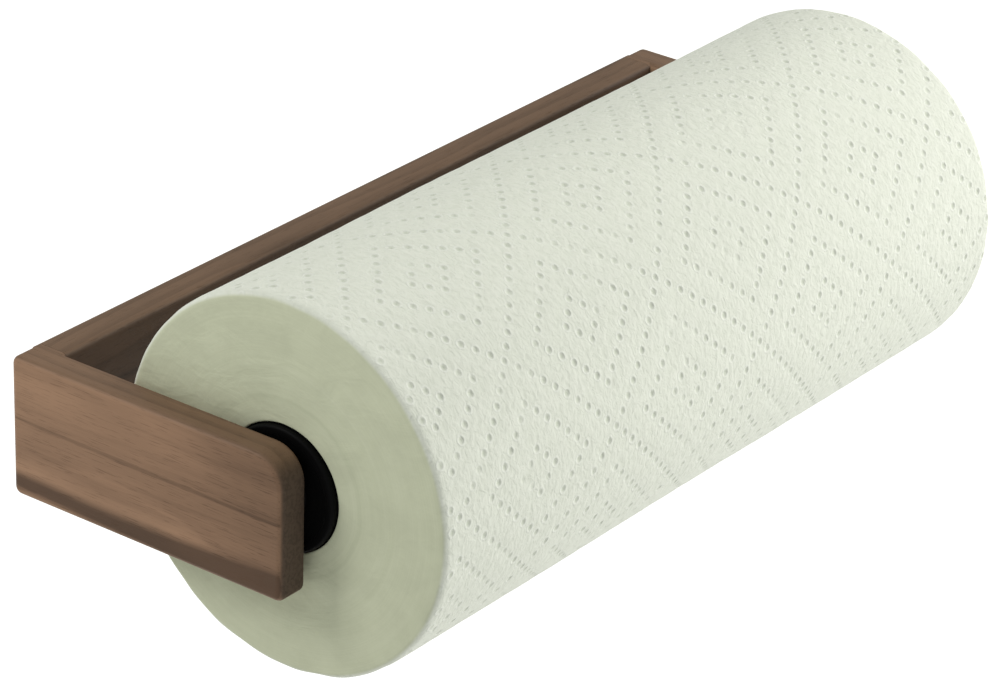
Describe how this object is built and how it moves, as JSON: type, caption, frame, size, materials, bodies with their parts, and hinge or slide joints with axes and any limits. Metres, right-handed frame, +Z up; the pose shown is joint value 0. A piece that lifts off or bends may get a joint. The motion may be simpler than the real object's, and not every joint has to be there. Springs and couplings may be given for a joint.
{
  "type": "paper towel holder",
  "caption": "Wall-mounted U-shaped wooden holder whose arms carry a sprung telescoping black roller with a paper towel roll turning on it.",
  "frame": {"origin": "middle of the back rail's wall face", "axes": "+X along the rail, from the left arm to the right arm as seen from the room; +Y into the wall; +Z up"},
  "size_m": [0.308, 0.149, 0.117],
  "materials": {
    "brown_wood": "satin",
    "dowel_wood": "matte",
    "black_plastic": "satin",
    "spring_steel": "satin",
    "core_card": "matte",
    "towel_paper": "matte"
  },
  "bodies": {
    "frame": {"back_rail": "brown_wood", "left_arm": "brown_wood", "right_arm": "brown_wood", "dowel_left_upper": "dowel_wood", "dowel_left_lower": "dowel_wood", "dowel_right_upper": "dowel_wood", "dowel_right_lower": "dowel_wood", "left_socket_bush": "black_plastic", "right_socket_bush": "black_plastic"},
    "roller": {"left_end_cap": "black_plastic", "roller_outer_tube": "black_plastic", "guide_collar": "black_plastic", "roller_spring": "spring_steel"},
    "plunger": {"spring_seat": "black_plastic", "roller_inner_tube": "black_plastic", "right_end_cap": "black_plastic"},
    "towel": {"cardboard_core": "core_card", "paper_roll": "towel_paper"}
  },
  "joints": [
    {"name": "roller_spin", "type": "hinge", "parent": "frame", "child": "roller", "pos_m": [0, -0.0905, 0.005], "axis": [1, 0, 0], "continuous": true},
    {"name": "plunger_slide", "type": "slide", "parent": "roller", "child": "plunger", "axis": [-1, 0, 0], "range_m": [0, 0.008], "stiffness_N_per_m": 300, "springref_m": -0.03, "deforming": ["roller_spring"]},
    {"name": "towel_spin", "type": "hinge", "parent": "roller", "child": "towel", "pos_m": [0, -0.0905, 0.005], "axis": [1, 0, 0], "continuous": true}
  ]
}
